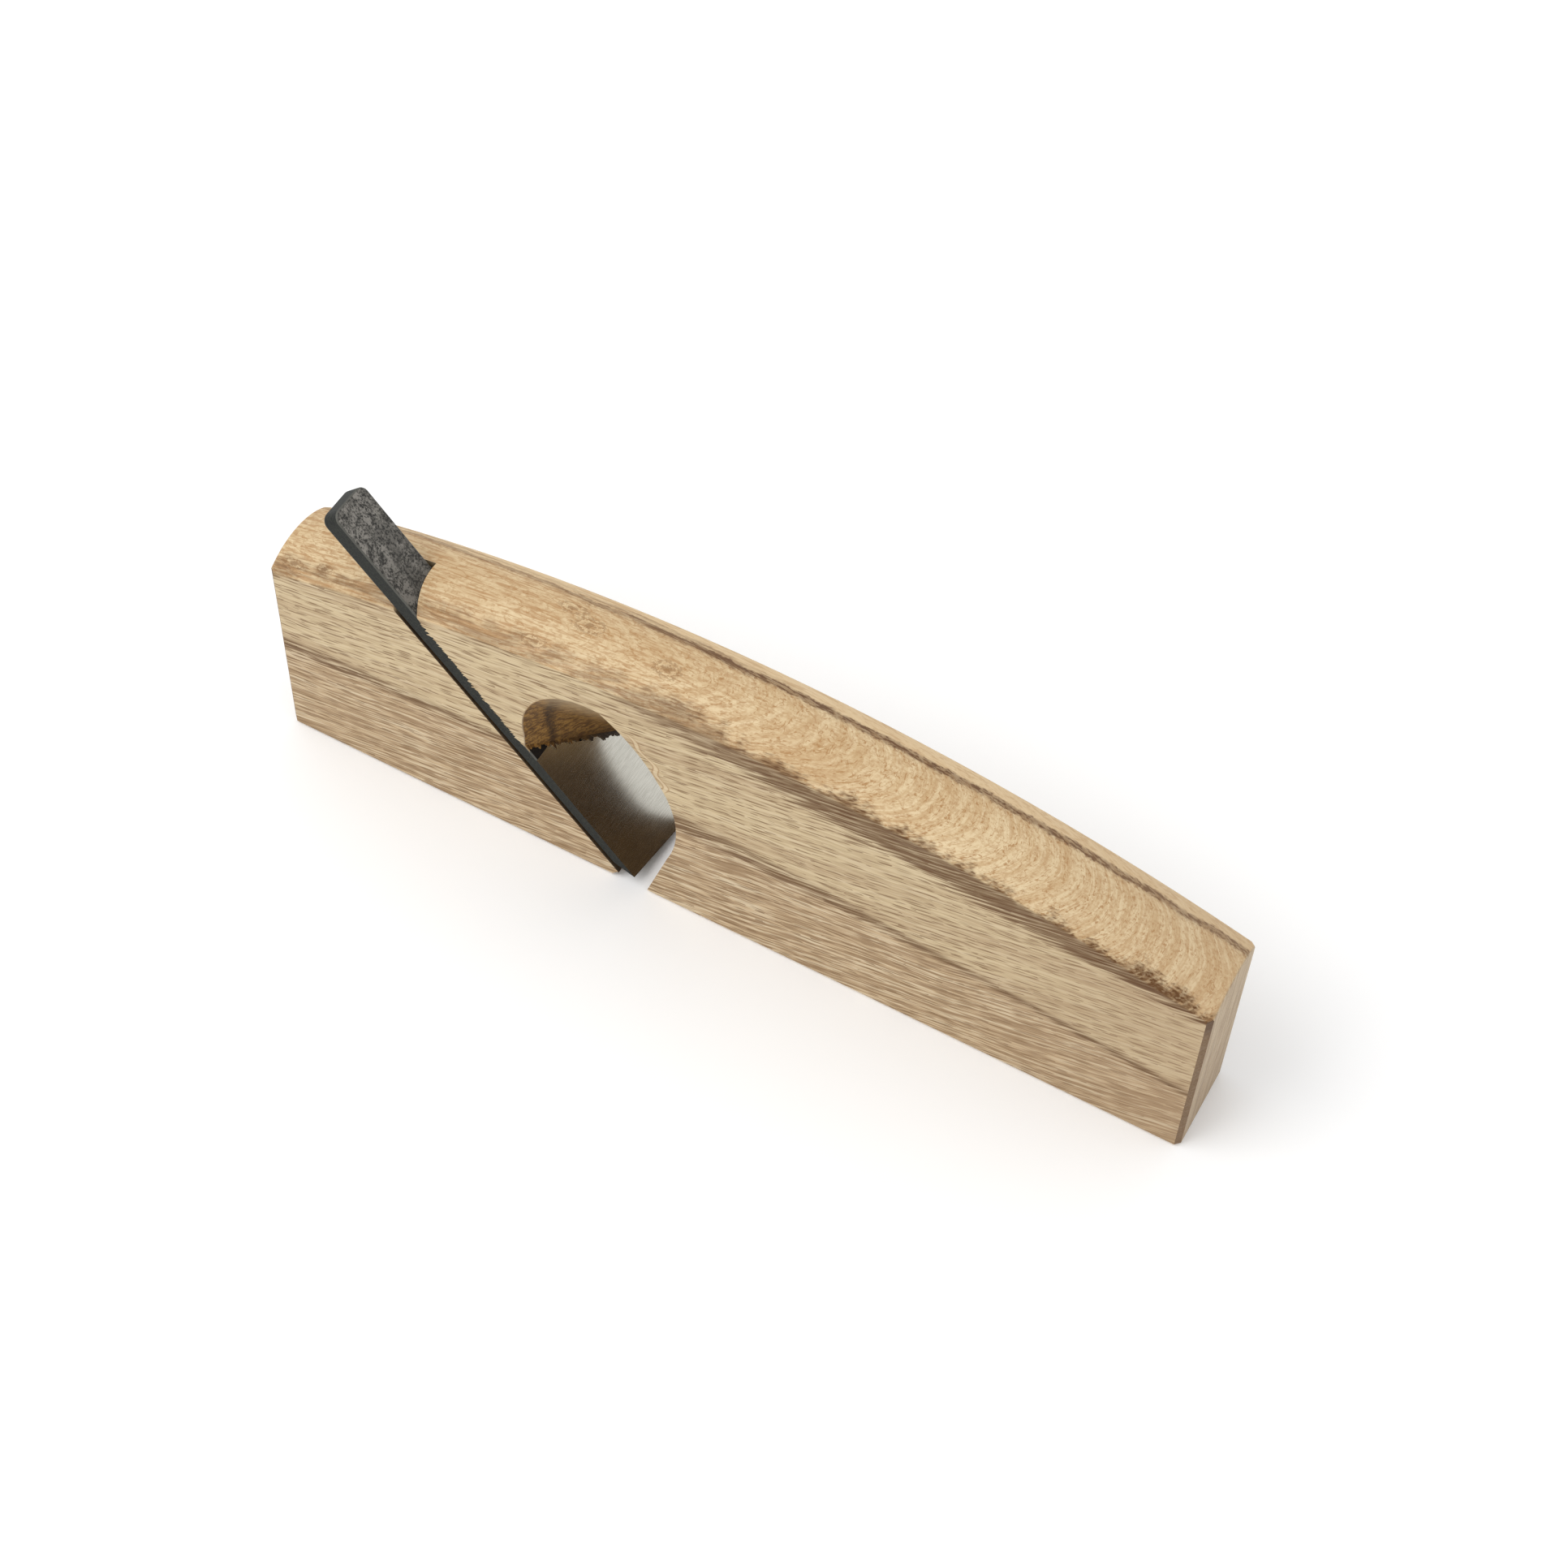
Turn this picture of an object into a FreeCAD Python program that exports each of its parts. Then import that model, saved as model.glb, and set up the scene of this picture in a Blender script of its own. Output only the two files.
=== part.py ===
"""Narrow wooden rebate plane with a single tapered blade: a parametric model in millimetres.

Frame: +X points from the heel to the toe, which is the way the plane cuts, +Y points to the
far side, +Z points up, and the origin is under the middle of the block, on the sole.
"""
import FreeCAD, Part
import math
import os
import Sketcher

# Driving dimensions. Lengths are in millimetres and angles in degrees. On the block, every x
# is measured from its middle and every z from the sole.
DIMENSIONS = {
    # Block
    "half_length": 91.0,
    "half_width": 9.0,
    "blank_height": 60.0,
    "heel_relief": 0.3,
    "past_heel": 93.0,
    "below_sole": 1.0,
    "end_easing": 0.9,
    "sole_easing": 0.6,
    "arris_easing": 0.5,
    # Domed back: an arc across the width, swept along a much larger arc
    "dome_radius": 14.6,
    "dome_half_span": 10.0,
    "dome_edge_z": 53.45,
    "crown_x": -5.2,
    "crown_arc_centre_z": -273.0,
    "dome_cut_angle": 46.0,
    "dome_cut_top": 80.0,
    # Blade slot, open in the near side. Its outlines lie along the bed: x runs down the bed
    # from the bed's foot, and the other axis stands off the bed
    "bed_angle": 47.0,
    "bed_foot_x": -18.6,
    "slot_depth": 10.2,
    "slot_top": 100.0,
    "slot_bottom": 8.0,
    "slot_bed_gap": 0.05,
    "slot_front_at_top": 4.7,
    "slot_front_at_bottom": 2.7,
    "flare_room_top": 31.0,
    "flare_room_front": 3.42,
    "flare_room_depth": 9.0,
    # Escapement: the two outlines share the mouth's front edge and the corner behind the blade
    "mouth_x": -14.5,
    "bed_tip_x": -20.6,
    "bed_tip_z": 1.7,
    "bed_tip_foot_x": -21.8,
    "escapement_foot_x": -16.0,
    "near_lip_foot_x": -14.83,
    "near_lip_x": -10.1,
    "near_lip_z": 13.5,
    "near_lip_radius": 23.0,
    "near_front_x": -11.9,
    "near_front_z": 34.8,
    "near_front_radius": 31.0,
    "near_crest_x": -23.5,
    "near_crest_z": 46.9,
    "near_crest_radius": 14.0,
    "near_back_x": -39.0,
    "near_back_z": 30.5,
    "near_heel_x": -39.0,
    "near_heel_z": 26.5,
    "far_lip_foot_x": -15.1,
    "far_lip_x": -10.9,
    "far_lip_z": 6.0,
    "far_lip_radius": 5.0,
    "far_front_x": -11.7,
    "far_front_z": 13.2,
    "far_front_radius": 30.0,
    "far_crest_x": -22.5,
    "far_crest_z": 20.8,
    "far_crest_radius": 7.0,
    "far_back_x": -29.5,
    "far_back_z": 18.5,
    "far_heel_x": -30.4,
    "far_heel_z": 16.4,
    # Blade, in its own frame: x runs down the bed from the far corner of the cutting edge,
    # and z stands off the bed. The shank tapers, so that a tap drives it tight. The near side
    # of the blade lies a hair inside the near side of the block
    "blade_length": 88.5,
    "blade_top_thickness": 4.4,
    "blade_edge_thickness": 2.75,
    "blade_rest_offset": 1.15,
    "near_recess": 0.15,
    "shank_far_y": 0.0,
    "past_head": 90.0,
    "past_side": 10.0,
    "shoulder_x": 26.5,
    "shoulder_round_x": 28.0,
    "shoulder_round_y": 1.5,
    "shoulder_radius": 1.5,
    "head_corner_radius": 1.8,
    "head_back_easing": 1.0,
    "blade_easing": 0.25,
    # Hard steel layer, laid into the soft iron's face
    "steel_length": 31.2,
    "steel_face_at_lap": 3.33,
    "steel_back_at_lap": 2.43,
    "steel_back_at_edge": 1.85,
    # Bevel: a prism cut from under the edge, set back at the near corner
    "bevel_start_x": 7.43,
    "bevel_start_z": 1.01,
    "bevel_end_x": 4.0,
    "bevel_end_z": 4.78,
    "edge_setback": 1.9,
}

# A length below this counts as nothing when edges are told apart.
FLAT = 1e-4
# A feature that changes the volume by less than this, in cubic millimetres, has done nothing.
LEAST_CHANGE = 1e-3

doc = FreeCAD.newDocument("rebate_plane")
sheet = doc.addObject("Spreadsheet::Sheet", "Dimensions")


def fill_sheet():
    """Write each driving dimension to the sheet, with its name as the alias."""
    for row, (name, value) in enumerate(DIMENSIONS.items(), start=1):
        sheet.set(f"A{row}", name)
        sheet.set(f"B{row}", str(value))
        sheet.setAlias(f"B{row}", name)
    doc.recompute()


def term(name):
    """Return the value and the expression of a dimension; a leading minus negates it."""
    sign = "-" if name.startswith("-") else ""
    alias = name.lstrip("-")
    value = float(sheet.get(alias))
    return (-value if sign else value), f"{sign}Dimensions.{alias}"


def new_body(name):
    """Start a body with a label of its own."""
    body = doc.addObject("PartDesign::Body", name)
    body.Label = name
    return body


def origin_plane(body, role):
    """Find one of a body's own origin planes."""
    return next(item for item in body.Origin.OriginFeatures if item.Role == role)


def bind(item, **expressions):
    """Bind an object's properties to expressions; __ in a name stands for a dot."""
    for path, expression in expressions.items():
        item.setExpression(path.replace("__", "."), expression)


def pin_point(sketch, geometry, end, corner):
    """Hold one end of a sketch element at a corner given by two dimension names."""
    for kind, axis, name in (("DistanceX", -2, corner[0]), ("DistanceY", -1, corner[1])):
        if name == 0:
            sketch.addConstraint(Sketcher.Constraint("PointOnObject", geometry, end, axis))
            continue
        value, expression = term(name)
        index = sketch.addConstraint(Sketcher.Constraint(kind, geometry, end, value))
        sketch.setExpression(f"Constraints[{index}]", expression)


def corner_vector(corner):
    """Return a corner's place in its sketch."""
    x, y = (0.0 if name == 0 else term(name)[0] for name in corner[:2])
    return FreeCAD.Vector(x, y, 0)


def left_arc(start, end, radius):
    """Make the short arc that turns left on its way from start to end."""
    chord = end - start
    half = chord.Length / 2
    to_centre = FreeCAD.Vector(-chord.y, chord.x, 0).normalize()
    centre = start + chord / 2 + to_centre * math.sqrt(radius ** 2 - half ** 2)
    circle = Part.Circle(centre, FreeCAD.Vector(0, 0, 1), radius)
    first = math.atan2(start.y - centre.y, start.x - centre.x)
    last = math.atan2(end.y - centre.y, end.x - centre.x)
    if last < first:
        last += 2 * math.pi
    return Part.ArcOfCircle(circle, first, last)


def draw_outline(sketch, corners):
    """Draw a closed outline through corners (x, y) or (x, y, radius).

    The corners run counter-clockwise. A radius bends the side that leaves its corner,
    outwards, or inwards where it starts with a minus.
    """
    ends = []
    for index, corner in enumerate(corners):
        start = corner_vector(corner)
        end = corner_vector(corners[(index + 1) % len(corners)])
        if len(corner) == 2:
            side = sketch.addGeometry(Part.LineSegment(start, end), False)
            ends.append((side, 1, 2))
        else:
            inward = corner[2].startswith("-")
            radius, expression = term(corner[2].lstrip("-"))
            arc = left_arc(end, start, radius) if inward else left_arc(start, end, radius)
            side = sketch.addGeometry(arc, False)
            ends.append((side, 2, 1) if inward else (side, 1, 2))
            bend = sketch.addConstraint(Sketcher.Constraint("Radius", side, radius))
            sketch.setExpression(f"Constraints[{bend}]", expression)
    for index, (side, first, last) in enumerate(ends):
        next_side, next_first, _ = ends[(index + 1) % len(ends)]
        joint = Sketcher.Constraint("Coincident", side, last, next_side, next_first)
        sketch.addConstraint(joint)
        pin_point(sketch, side, first, corners[index])


def new_sketch(body, name, role, corners=None):
    """Make a sketch on one of the body's origin planes, with an outline if one is given."""
    sketch = body.newObject("Sketcher::SketchObject", name)
    sketch.AttachmentSupport = (origin_plane(body, role), [""])
    sketch.MapMode = "FlatFace"
    if corners:
        draw_outline(sketch, corners)
    return sketch


def add_feature(body, kind, name, sketch, **values):
    """Add a feature made from a sketch, and set its plain properties."""
    feature = body.newObject(f"PartDesign::{kind}", name)
    feature.Profile = sketch
    sketch.Visibility = False
    for key, value in values.items():
        setattr(feature, key, value)
    return feature


def ease_edges(body, kind, name, size, wanted):
    """Chamfer or fillet the edges of the body's last feature that a test picks out."""
    doc.recompute()
    base = body.Tip
    edges = [f"Edge{n}" for n, edge in enumerate(base.Shape.Edges, start=1) if wanted(edge)]
    if not edges:
        raise RuntimeError(f"{name} found no edges")
    feature = body.newObject(f"PartDesign::{kind}", name)
    feature.Base = (base, edges)
    feature.setExpression("Radius" if kind == "Fillet" else "Size", f"Dimensions.{size}")
    return feature


def lies_on(edge, axis, value):
    """Tell whether a whole edge lies at one value of x, y or z."""
    box = edge.BoundBox
    low = getattr(box, f"{axis}Min")
    high = getattr(box, f"{axis}Max")
    return abs(low - value) < FLAT and abs(high - value) < FLAT


def on_side(sketch, side):
    """Move an XZ-plane sketch to the near (-Y) or the far (+Y) side of the block."""
    sign = "" if side == "near" else "-"
    bind(sketch, AttachmentOffset__Base__z=f"{sign}Dimensions.half_width")


def along_bed(sketch, side):
    """Lay a side sketch along the bed: x runs down the bed from its foot, y off the bed."""
    turn = FreeCAD.Rotation(FreeCAD.Vector(0, 0, -1), term("bed_angle")[0])
    sketch.AttachmentOffset = FreeCAD.Placement(FreeCAD.Vector(0, 0, 0), turn)
    on_side(sketch, side)
    bind(
        sketch,
        AttachmentOffset__Base__x="Dimensions.bed_foot_x",
        AttachmentOffset__Rotation__Angle="Dimensions.bed_angle",
    )


def pad_blank(body):
    """Pad the block's blank from a rectangle in side view."""
    sketch = new_sketch(body, "blank_side_view", "XZ_Plane", [
        ("-half_length", 0),
        ("half_length", 0),
        ("half_length", "blank_height"),
        ("-half_length", "blank_height"),
    ])
    pad = add_feature(body, "Pad", "blank", sketch, Midplane=True)
    bind(pad, Length="2 * Dimensions.half_width")


def turn_dome(body):
    """Shape the domed back with a groove about an axis across the plane, far below it."""
    sketch = new_sketch(body, "dome_section", "YZ_Plane", [
        ("dome_half_span", "dome_edge_z"),
        ("dome_half_span", "dome_cut_top"),
        ("-dome_half_span", "dome_cut_top"),
        ("-dome_half_span", "dome_edge_z", "-dome_radius"),
    ])
    bind(sketch, AttachmentOffset__Base__z="Dimensions.crown_x")
    centre_z = term("crown_arc_centre_z")[0]
    span = term("dome_half_span")[0]
    ends = (FreeCAD.Vector(-span, centre_z, 0), FreeCAD.Vector(span, centre_z, 0))
    axis = sketch.addGeometry(Part.LineSegment(*ends), True)
    pin_point(sketch, axis, 1, ("-dome_half_span", "crown_arc_centre_z"))
    pin_point(sketch, axis, 2, ("dome_half_span", "crown_arc_centre_z"))
    groove = add_feature(body, "Groove", "dome", sketch, Midplane=True)
    groove.ReferenceAxis = (sketch, ["Axis0"])
    bind(groove, Angle="Dimensions.dome_cut_angle")


def ease_blank(body):
    """Chamfer the blank's upright corners, and less heavily its edges along the sole."""
    half_length = term("half_length")[0]

    def is_upright(edge):
        on_end = lies_on(edge, "X", half_length) or lies_on(edge, "X", -half_length)
        return on_end and edge.BoundBox.YLength < FLAT

    def is_sole(edge):
        return lies_on(edge, "Z", 0.0)

    ease_edges(body, "Chamfer", "upright_chamfers", "end_easing", is_upright)
    ease_edges(body, "Chamfer", "sole_chamfers", "sole_easing", is_sole)


def ease_dome(body):
    """Round the edge that runs all the way round the domed back."""
    half_blank = term("blank_height")[0] / 2

    def is_dome_edge(edge):
        return edge.BoundBox.ZMin > half_blank

    ease_edges(body, "Fillet", "dome_easing", "arris_easing", is_dome_edge)


def relieve_heel(body):
    """Take the sole down a little from the mouth to the heel, and blunt the bed's sharp tip."""
    sketch = new_sketch(body, "heel_relief_side_view", "XZ_Plane", [
        ("-past_heel", "-below_sole"),
        ("mouth_x", "-below_sole"),
        ("mouth_x", "bed_tip_z"),
        ("bed_tip_x", "bed_tip_z"),
        ("bed_tip_foot_x", "heel_relief"),
        ("-past_heel", "heel_relief"),
    ])
    relief = add_feature(body, "Pocket", "heel_relief", sketch, Midplane=True)
    bind(relief, Length="2 * Dimensions.past_side")


def cut_slot(body):
    """Cut the tapered slot for the shank, and the room for the wide end of the blade."""
    shank_sketch = new_sketch(body, "slot_side_view", "XZ_Plane", [
        ("-slot_top", "-slot_bed_gap"),
        ("slot_bottom", "-slot_bed_gap"),
        ("slot_bottom", "slot_front_at_bottom"),
        ("-slot_top", "slot_front_at_top"),
    ])
    along_bed(shank_sketch, "near")
    slot = add_feature(body, "Pocket", "blade_slot", shank_sketch)
    bind(slot, Length="Dimensions.slot_depth")
    flare_sketch = new_sketch(body, "flare_room_side_view", "XZ_Plane", [
        ("-flare_room_top", "-slot_bed_gap"),
        ("slot_bottom", "-slot_bed_gap"),
        ("slot_bottom", "slot_front_at_bottom"),
        ("-flare_room_top", "flare_room_front"),
    ])
    along_bed(flare_sketch, "far")
    room = add_feature(body, "Pocket", "flare_room", flare_sketch, Reversed=True)
    bind(room, Length="Dimensions.flare_room_depth")


def escapement_outline(side):
    """List the corners of the escapement's outline in one side of the block."""
    return [
        (f"{side}_lip_foot_x", "-below_sole"),
        (f"{side}_lip_x", f"{side}_lip_z", f"{side}_lip_radius"),
        (f"{side}_front_x", f"{side}_front_z", f"{side}_front_radius"),
        (f"{side}_crest_x", f"{side}_crest_z", f"{side}_crest_radius"),
        (f"{side}_back_x", f"{side}_back_z"),
        (f"{side}_heel_x", f"{side}_heel_z"),
        ("escapement_foot_x", "-below_sole"),
    ]


def cut_escapement(body):
    """Cut the cone-like throat, wide in the near side and small in the far side."""
    outlines = {}
    for side in ("near", "far"):
        outline = new_sketch(body, f"escapement_{side}", "XZ_Plane", escapement_outline(side))
        on_side(outline, side)
        outlines[side] = outline
    loft = add_feature(body, "SubtractiveLoft", "escapement", outlines["near"], Ruled=True)
    loft.Sections = [outlines["far"]]
    outlines["far"].Visibility = False


def make_block():
    """Build the wooden block."""
    body = new_body("body_block")
    steps = (
        pad_blank, ease_blank, turn_dome, ease_dome, relieve_heel, cut_slot, cut_escapement,
    )
    for step in steps:
        step(body)
    doc.recompute()
    return body


def seat_on_bed(body):
    """Place a blade piece on the bed, at the depth that the blade is left at."""
    turn = FreeCAD.Rotation(FreeCAD.Vector(0, 1, 0), term("bed_angle")[0])
    body.Placement = FreeCAD.Placement(FreeCAD.Vector(0, 0, 0), turn)
    bind(
        body,
        Placement__Base__x=(
            "Dimensions.bed_foot_x + Dimensions.blade_rest_offset * cos(Dimensions.bed_angle)"
        ),
        Placement__Base__z="-Dimensions.blade_rest_offset * sin(Dimensions.bed_angle)",
        Placement__Rotation__Angle="Dimensions.bed_angle",
    )


def shape_blade_outline(body):
    """Narrow the upper part of a blade piece to the shank, and give it its skewed bevel."""
    plan = new_sketch(body, f"{body.Name}_shank_plan", "XY_Plane", [
        ("-past_head", "shank_far_y"),
        ("-shoulder_round_x", "shank_far_y", "shoulder_radius"),
        ("-shoulder_x", "shoulder_round_y"),
        ("-shoulder_x", "past_side"),
        ("-past_head", "past_side"),
    ])
    shank = add_feature(body, "Pocket", f"{body.Name}_shank", plan, Midplane=True)
    bind(shank, Length="3 * Dimensions.blade_top_thickness")
    bevels = {}
    for side in ("far", "near"):
        bevel = new_sketch(body, f"{body.Name}_bevel_{side}", "XZ_Plane", [
            ("-bevel_start_x", "-bevel_start_z"),
            ("bevel_end_x", "-bevel_start_z"),
            ("bevel_end_x", "bevel_end_z"),
        ])
        on_side(bevel, side)
        bevels[side] = bevel
    bind(bevels["near"], AttachmentOffset__Base__x="-Dimensions.edge_setback")
    loft = add_feature(body, "SubtractiveLoft", f"{body.Name}_bevel", bevels["far"], Ruled=True)
    loft.Sections = [bevels["near"]]
    bevels["near"].Visibility = False


def pad_blade_piece(name, side_view):
    """Pad a blade piece from its side view, across the block but for the near recess."""
    body = new_body(name)
    sketch = new_sketch(body, f"{name}_side_view", "XZ_Plane", side_view)
    bind(sketch, AttachmentOffset__Base__z="-Dimensions.near_recess / 2")
    pad = add_feature(body, "Pad", f"{name}_pad", sketch, Midplane=True)
    bind(pad, Length="2 * Dimensions.half_width - Dimensions.near_recess")
    shape_blade_outline(body)
    return body


def make_blade_iron():
    """Build the blade's soft iron: the whole shank, and the backing of the steel."""
    body = pad_blade_piece("blade_iron", [
        ("-blade_length", 0),
        (0, 0),
        (0, "steel_back_at_edge"),
        ("-steel_length", "steel_back_at_lap"),
        ("-steel_length", "steel_face_at_lap"),
        ("-blade_length", "blade_top_thickness"),
    ])
    head_x = -term("blade_length")[0]
    lap_x = -term("steel_length")[0]
    face_z = term("steel_face_at_lap")[0]

    def is_head_corner(edge):
        return lies_on(edge, "X", head_x) and edge.BoundBox.YLength < FLAT

    def is_face_edge(edge):
        return edge.BoundBox.ZMin > face_z - FLAT and not lies_on(edge, "X", lap_x)

    def is_head_back(edge):
        return lies_on(edge, "X", head_x) and lies_on(edge, "Z", 0.0)

    ease_edges(body, "Fillet", "head_corners", "head_corner_radius", is_head_corner)
    ease_edges(body, "Fillet", "head_back", "head_back_easing", is_head_back)
    ease_edges(body, "Chamfer", "face_easing", "blade_easing", is_face_edge)
    seat_on_bed(body)
    return body


def make_blade_steel():
    """Build the hard steel layer that carries the cutting edge."""
    body = pad_blade_piece("blade_steel", [
        ("-steel_length", "steel_back_at_lap"),
        (0, "steel_back_at_edge"),
        (0, "blade_edge_thickness"),
        ("-steel_length", "steel_face_at_lap"),
    ])
    seat_on_bed(body)
    return body


def check_document():
    """Stop on any object that failed to recompute, and on any cut that removed nothing."""
    for item in doc.Objects:
        if "Invalid" in item.State or "Error" in item.State:
            raise RuntimeError(f"{item.Name} failed: {item.State}")
    for body in doc.findObjects("PartDesign::Body"):
        volume = 0.0
        for feature in body.Group:
            if feature.isDerivedFrom("Sketcher::SketchObject"):
                continue
            changed = abs(feature.Shape.Volume - volume)
            if changed < LEAST_CHANGE:
                raise RuntimeError(f"{feature.Name} changed nothing")
            volume = feature.Shape.Volume


def export(bodies):
    """Write each sub-part's shape to its own STEP file, once every one of them is sound."""
    for body in bodies:
        if body.Shape.isNull() or not body.Shape.isValid():
            raise RuntimeError(f"{body.Label} has no valid shape")
        if len(body.Shape.Solids) != 1:
            raise RuntimeError(f"{body.Label} is not one solid")
    os.makedirs("parts", exist_ok=True)
    for body in bodies:
        body.Shape.exportStep(os.path.join("parts", f"{body.Label}.step"))
        box = body.Shape.BoundBox
        size = f"{box.XLength:.2f} x {box.YLength:.2f} x {box.ZLength:.2f} mm"
        print(f"{body.Label}: {size}, {body.Shape.Volume:.1f} mm3")


fill_sheet()
pieces = [make_block(), make_blade_iron(), make_blade_steel()]
doc.recompute()
check_document()
export(pieces)
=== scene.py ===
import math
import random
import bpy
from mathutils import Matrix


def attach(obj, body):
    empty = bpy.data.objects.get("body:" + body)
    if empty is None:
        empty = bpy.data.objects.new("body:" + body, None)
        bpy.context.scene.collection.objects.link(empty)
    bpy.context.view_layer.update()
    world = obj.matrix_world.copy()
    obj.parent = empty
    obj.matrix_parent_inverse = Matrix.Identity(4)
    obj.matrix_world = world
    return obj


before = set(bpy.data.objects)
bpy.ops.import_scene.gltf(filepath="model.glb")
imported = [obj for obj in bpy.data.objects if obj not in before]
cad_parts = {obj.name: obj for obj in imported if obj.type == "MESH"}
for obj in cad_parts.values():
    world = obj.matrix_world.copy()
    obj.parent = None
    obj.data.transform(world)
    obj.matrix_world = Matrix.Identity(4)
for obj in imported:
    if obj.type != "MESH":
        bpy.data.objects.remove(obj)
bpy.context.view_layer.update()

# Looks for the rebate plane: its oak, its forged and ground blade, the torn fibres round its
# cuts, the floor, the light and the camera. Objects are in metres in the frame of the model:
# +X from heel to toe, +Y to the far side, +Z up. Patterns and fibres are worked out in
# millimetres of the same frame, so that the grain runs through the block from face to face.
from types import SimpleNamespace

import bmesh
import bpy
from mathutils import Vector

MM_PER_M = 1000.0

# How much more light a surface gets than would show its own colour unchanged
LIGHT_LEVEL = 1.30

# Half the block's length and width, in millimetres, and the slope of the blade's bed
HALF_LENGTH = 91.0
HALF_WIDTH = 9.0
BED_ANGLE = math.radians(47.0)
BED_COS = math.cos(BED_ANGLE)
BED_SIN = math.sin(BED_ANGLE)


def tone(red, green, blue):
    """Turn the sRGB colour that a surface should show, 0 to 255, into a shader's colour."""
    parts = []
    for level in (red, green, blue):
        part = level / 255
        linear = part / 12.92 if part <= 0.04045 else ((part + 0.055) / 1.055) ** 2.4
        parts.append(linear / LIGHT_LEVEL)
    return (*parts, 1.0)


class Shader:
    """Writes a material's node tree: each method adds nodes and returns their output."""

    def __init__(self, name):
        self.material = bpy.data.materials.new(name)
        self.material.use_nodes = True
        self.nodes = self.material.node_tree.nodes
        self.links = self.material.node_tree.links
        self.nodes.clear()

    def feed(self, socket, value):
        if isinstance(value, bpy.types.NodeSocket):
            self.links.new(value, socket)
        else:
            socket.default_value = value

    def add(self, kind, values=(), **settings):
        node = self.nodes.new("ShaderNode" + kind)
        for key, value in settings.items():
            setattr(node, key, value)
        for key, value in dict(values).items():
            self.feed(node.inputs[key], value)
        return node

    def math(self, operation, *values, clamp=False):
        node = self.add("Math", enumerate(values), operation=operation, use_clamp=clamp)
        return node.outputs[0]

    def total(self, *values):
        result = values[0]
        for value in values[1:]:
            result = self.math("ADD", result, value)
        return result

    def product(self, *values):
        result = values[0]
        for value in values[1:]:
            result = self.math("MULTIPLY", result, value)
        return result

    def difference(self, first, second):
        return self.math("SUBTRACT", first, second)

    def size(self, value):
        """Return a value without its sign."""
        return self.math("ABSOLUTE", value)

    def gap(self, first, second):
        """Return how far apart two values are."""
        return self.size(self.difference(first, second))

    def swing(self, noise, reach):
        """Turn noise, which lies round a half, into a value that swings round 0."""
        return self.product(self.difference(noise, 0.5), reach)

    def smooth(self, value, low, high):
        """Rise from 0 at low to 1 at high, or fall where low is the larger."""
        inputs = {"Value": value, "From Min": low, "From Max": high}
        return self.add("MapRange", inputs, interpolation_type="SMOOTHSTEP").outputs[0]

    def polynomial(self, x, *terms):
        """Return terms[0] + terms[1] x + terms[2] x^2."""
        result = terms[-1]
        for term in reversed(terms[:-1]):
            result = self.math("MULTIPLY_ADD", result, x, term)
        return result

    def vector(self, x, y, z):
        return self.add("CombineXYZ", {"X": x, "Y": y, "Z": z}).outputs[0]

    def noise(self, vector, detail=2.0, roughness=0.5, distortion=0.0):
        values = {
            "Vector": vector, "Scale": 1.0, "Detail": detail, "Roughness": roughness,
            "Distortion": distortion,
        }
        return self.add("TexNoise", values).outputs[0]

    def grain(self, axes, rates, *look):
        """Return noise over three axes, each with its own rate per millimetre.

        look is the detail, the roughness and the distortion, each of which can be left out.
        """
        stretched = [self.product(axis, rate) for axis, rate in zip(axes, rates)]
        return self.noise(self.vector(*stretched), *look)

    def mix(self, factor, first, second):
        """Mix two colours."""
        return self.add("Mix", {0: factor, 6: first, 7: second}, data_type="RGBA").outputs[2]

    def cover(self, base, color, *factors):
        """Lay a colour over a base, as strongly as the product of the factors."""
        return self.mix(self.product(*factors), base, color)

    def blend(self, factor, first, second):
        """Mix two numbers."""
        return self.add("Mix", {0: factor, 2: first, 3: second}, data_type="FLOAT").outputs[0]

    def bump(self, height, strength, distance):
        values = {"Height": height, "Strength": strength, "Distance": distance}
        return self.add("Bump", values).outputs[0]

    def spot(self):
        """Return the position in millimetres as x, y and z, and the normal as nx, ny and nz."""
        source = self.add("TexCoord")
        values = {0: source.outputs["Object"], 1: (MM_PER_M, MM_PER_M, MM_PER_M)}
        position = self.add("VectorMath", values, operation="MULTIPLY").outputs[0]
        x, y, z = self.add("SeparateXYZ", {0: position}).outputs
        nx, ny, nz = self.add("SeparateXYZ", {0: source.outputs["Normal"]}).outputs
        return SimpleNamespace(x=x, y=y, z=z, nx=nx, ny=ny, nz=nz)

    def finish(self, **values):
        surface = self.add("BsdfPrincipled", {k.replace("_", " "): v for k, v in values.items()})
        self.add("OutputMaterial", {"Surface": surface.outputs[0]})
        return self.material


def down_bed(s, x, z):
    """Return how far a place lies down the slope of the blade's bed, from the origin."""
    return s.difference(s.product(x, BED_COS), s.product(z, BED_SIN))


def off_bed(s, x, z):
    """Return how far a place lies square to the bed, from the origin, towards the toe."""
    return s.math("ADD", s.product(x, BED_SIN), s.product(z, BED_COS))


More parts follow.
